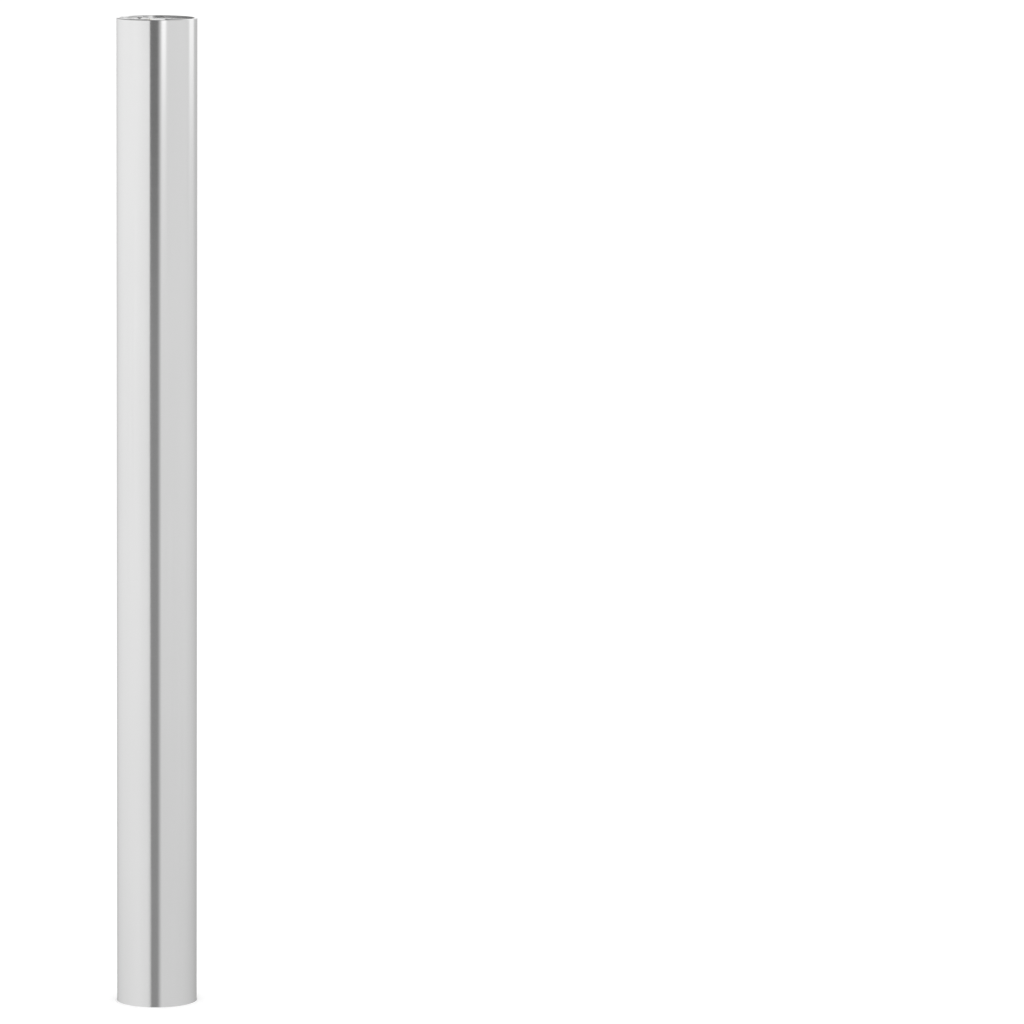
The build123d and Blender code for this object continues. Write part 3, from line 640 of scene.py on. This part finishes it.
# How the panels change with height, to the left and to the right, and the azimuths where the two meet.
LEFT_FALL = (
    (-0.63, 0.905), (-0.47, 0.93), (-0.17, 0.95), (0.12, 0.965), (0.42, 0.985), (0.63, 1.03), (0.82, 1.04),
)
RIGHT_FALL = ((-0.63, 0.965), (-0.20, 1.0), (0.2, 1.03), (0.82, 1.04))
FALLS_MEET = (-10, 10)

# Further dimming low down, which is full beyond the second azimuth on either side.
LOW_SIDES = ((-0.63, 0.91), (-0.48, 0.925), (-0.40, 0.95), (-0.25, 0.98), (0.1, 1.0))
SIDEWAYS = (50, 115)

# What the cap and the inside of the rim reflect, from the height of the post's top upwards.
ABOVE = (
    (-180, 1.04), (-166, 1.04), (-156, 0.20), (-40, 0.34), (12, 0.58), (60, 0.68), (130, 0.90), (165, 1.04),
)
ABOVE_FROM = (0.98, 1.10)

# The dark flag near the camera. Its left edge leans: two heights, and its azimuth at each.
FLAG_LEVEL = ((-0.6, 0.31), (0.40, 0.29), (0.62, 0.20), (0.82, 0.185))
FLAG_LEAN = (0.30, 0.82, -22.0, -19.8)
FLAG_SOFT = 0.8
FLAG_FADE = (2, 13)

# Two bright strips, added high up: where each starts and ends, how soft its sides are, and its level.
STRIPS = (
    ((13, 26, 4), ((0.40, 0.0), (0.62, 0.06), (0.72, 0.10), (0.77, 0.24), (0.83, 0.66))),
    ((105, 130, 6), ((0.40, 0.0), (0.58, 0.05), (0.66, 0.10), (0.74, 0.27), (0.82, 0.44))),
)


def ramp(net, value, low, high, stops):
    """Piecewise level of a value that runs from low to high."""
    node = net.add("ShaderNodeValToRGB")
    net.link(net.remap(value, low, high, 0, 1), node.inputs[0])
    elements = node.color_ramp.elements
    while len(elements) < len(stops):
        elements.new(0.5)
    for element, (at, level) in zip(elements, stops):
        element.position = (at - low) / (high - low)
        element.color = grey(level)
    return node.outputs[0]


def strip(net, degrees, low, high, soft):
    """1 inside a band of azimuth, with soft edges."""
    away = net.math("ABSOLUTE", net.math("SUBTRACT", degrees, (low + high) / 2))
    half = (high - low) / 2
    return net.remap(away, half - soft, half + soft, 1.0, 0.0, smooth=True)


def tent_material():
    """Soft studio: broad pale panels and one dark flag near the camera."""
    material = bpy.data.materials.new("studio_panels")
    material.use_nodes = True
    net = Net(material.node_tree)
    x, y, z = net.split(net.add("ShaderNodeNewGeometry").outputs["Position"])
    degrees = net.times(net.math("ARCTAN2", x, net.times(y, -1.0)), 180 / math.pi)

    def by_height(stops):
        return ramp(net, z, *HEIGHTS, stops)

    fall = net.mix(net.remap(degrees, *FALLS_MEET, 0, 1), by_height(LEFT_FALL), by_height(RIGHT_FALL))
    base = net.times(ramp(net, degrees, -180, 180, PANELS), fall)
    sideways = net.remap(net.math("ABSOLUTE", degrees), *SIDEWAYS, 0, 1)
    base = net.times(base, net.mix(sideways, grey(1.0), by_height(LOW_SIDES)))
    base = net.mix(net.remap(z, *ABOVE_FROM, 0, 1), base, ramp(net, degrees, -180, 180, ABOVE))

    past_edge = net.math("SUBTRACT", degrees, net.remap(z, *FLAG_LEAN))
    flag = net.times(net.remap(past_edge, -FLAG_SOFT, FLAG_SOFT, 0, 1), net.remap(degrees, *FLAG_FADE, 1, 0))
    total = net.mix(flag, base, by_height(FLAG_LEVEL))
    for band, level in STRIPS:
        total = net.plus(total, net.times(strip(net, degrees, *band), by_height(level)))

    emission = net.add("ShaderNodeEmission")
    net.link(total, emission.inputs["Strength"])
    out = net.add("ShaderNodeOutputMaterial")
    net.link(emission.outputs[0], out.inputs[0])
    return material


def build_tent(bm):
    """Open-topped drum, closed below by a disc at the floor."""
    low, high = [], []
    for i in range(TENT_POINTS):
        a = 2 * math.pi * i / TENT_POINTS
        x, y = TENT_R * math.sin(a), -TENT_R * math.cos(a)
        low.append(bm.verts.new((x, y, FLOOR_Z)))
        high.append(bm.verts.new((x, y, TENT_TOP)))
    for i in range(TENT_POINTS):
        j = (i + 1) % TENT_POINTS
        bm.faces.new((low[i], low[j], high[j], high[i]))
    bm.faces.new(low)


tent = stage_mesh("stage_studio_panels", build_tent, tent_material())
tent.visible_camera = False
tent.visible_diffuse = False
tent.visible_shadow = False
tent.visible_transmission = False

# ------------------------------------------------------------------ world
# The direction of the brightest sky, the sky's middle level, and how far it rises and falls from that.
KEY = Vector((-0.45, -0.55, 0.70)).normalized()
SKY, SKY_SWING = 1.02, 0.30
# The ceiling's level rises from left to right.
CEILING_ACROSS = (-0.35, 0.45)
CEILING_LEVEL = (0.20, 0.62)


def build_world():
    """Even white to the camera, a soft one-sided sky to matt surfaces, and a dim ceiling to shiny ones."""
    world = bpy.data.worlds.new("studio")
    world.use_nodes = True
    bpy.context.scene.world = world
    net = Net(world.node_tree)
    direction = net.add("ShaderNodeTexCoord").outputs["Generated"]
    sky = net.remap(net.dot(direction, KEY), -1, 1, SKY - SKY_SWING, SKY + SKY_SWING)
    ceiling = net.remap(net.split(direction)[0], *CEILING_ACROSS, *CEILING_LEVEL)
    path = net.add("ShaderNodeLightPath")
    level = net.mix(path.outputs["Is Glossy Ray"], sky, ceiling)
    level = net.mix(path.outputs["Is Camera Ray"], level, grey(1.0))
    background = net.add("ShaderNodeBackground")
    background.inputs["Color"].default_value = grey(1.0)
    net.link(level, background.inputs["Strength"])
    out = net.add("ShaderNodeOutputWorld")
    net.link(background.outputs[0], out.inputs[0])


build_world()
bpy.context.scene.view_settings.view_transform = "Standard"

# ------------------------------------------------------------------ camera
CAMERA_DISTANCE = 6.169
CAMERA_HEIGHT = 1.3826
CAMERA_LENS, CAMERA_SENSOR = 230.43, 36.0
CAMERA_CLIP = (0.1, 400.0)
CAMERA_YAW, CAMERA_PITCH, CAMERA_ROLL = 3.130, -7.846, 0.4256


def camera_turn():
    """The camera's axes: yaw right of +Y, pitch above level, roll about its line of sight."""
    yaw, pitch, roll = (math.radians(v) for v in (CAMERA_YAW, CAMERA_PITCH, CAMERA_ROLL))
    forward = Vector((math.sin(yaw) * math.cos(pitch), math.cos(yaw) * math.cos(pitch), math.sin(pitch)))
    level_right = Vector((math.cos(yaw), -math.sin(yaw), 0))
    level_up = level_right.cross(forward)
    right = level_right * math.cos(roll) + level_up * math.sin(roll)
    up = level_up * math.cos(roll) - level_right * math.sin(roll)
    return Matrix((right, up, -forward)).transposed().to_4x4()


camera = bpy.data.objects.new("camera", bpy.data.cameras.new("camera"))
bpy.context.scene.collection.objects.link(camera)
camera.data.lens = CAMERA_LENS
camera.data.sensor_width = CAMERA_SENSOR
camera.data.clip_start, camera.data.clip_end = CAMERA_CLIP
camera.matrix_world = Matrix.Translation((0, -CAMERA_DISTANCE, CAMERA_HEIGHT)) @ camera_turn()
bpy.context.scene.camera = camera
